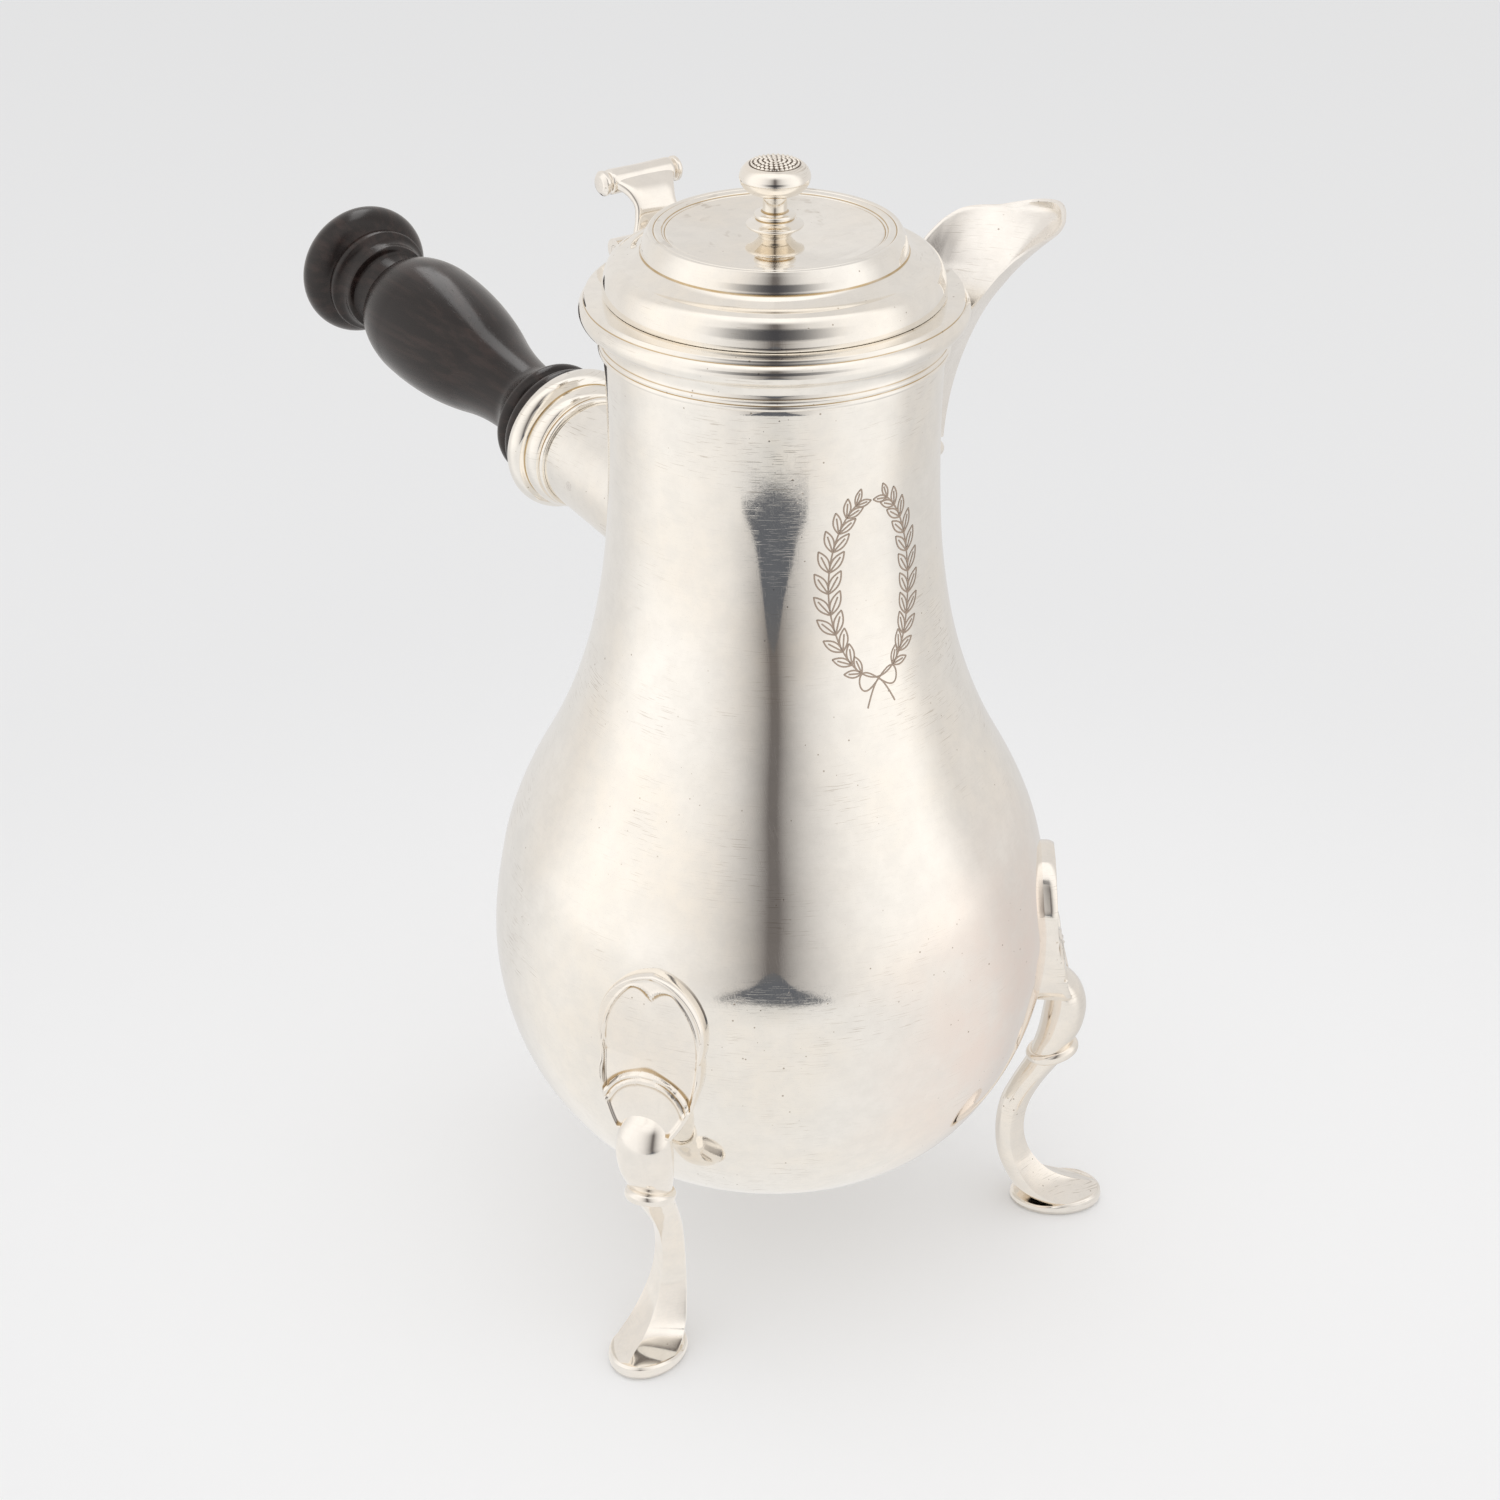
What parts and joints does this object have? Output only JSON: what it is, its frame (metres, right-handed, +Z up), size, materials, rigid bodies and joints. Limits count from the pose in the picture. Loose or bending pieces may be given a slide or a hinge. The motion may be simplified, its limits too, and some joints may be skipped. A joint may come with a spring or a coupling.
{
  "type": "coffee pot",
  "caption": "Pear-shaped silver coffee pot on cast shield feet, with an open beak spout, a hinged stepped lid with thumbpiece and finial, and a straight turned wood side handle.",
  "frame": {"origin": "on the standing plane, on the axis of the pear-shaped body", "axes": "+Z up along the axis of the body, +Y along the handle, +X towards the spout, which is turned a little towards -Y"},
  "size_m": [0.1333, 0.2464, 0.2486],
  "materials": {
    "silver": "old polished silver with fine scratches",
    "silver_inside": "plain silver of inner and hidden fittings",
    "ebony": "dark polished hardwood"
  },
  "bodies": {
    "pot": {"pot_body": "silver", "rim_moulding": "silver", "hinge_bracket": "silver", "hinge_pin": "silver_inside", "spout": "silver", "spout_drop": "silver", "handle_socket": "silver", "socket_ring": "silver", "handle_pin": "silver_inside", "foot_shield_back": "silver", "foot_leg_back": "silver", "foot_pad_back": "silver", "foot_shield_left": "silver", "foot_leg_left": "silver", "foot_pad_left": "silver", "foot_shield_right": "silver", "foot_leg_right": "silver", "foot_pad_right": "silver", "handle_grip": "ebony"},
    "lid": {"lid_cover": "silver", "lid_bezel": "silver_inside", "finial": "silver", "finial_nut": "silver_inside", "lid_strap": "silver", "thumbpiece": "silver"}
  },
  "joints": [
    {"name": "lid_hinge", "type": "hinge", "parent": "pot", "child": "lid", "pos_m": [0, 0.048, 0.2168], "axis": [-1, 0, 0], "range_deg": [0, 105]}
  ]
}
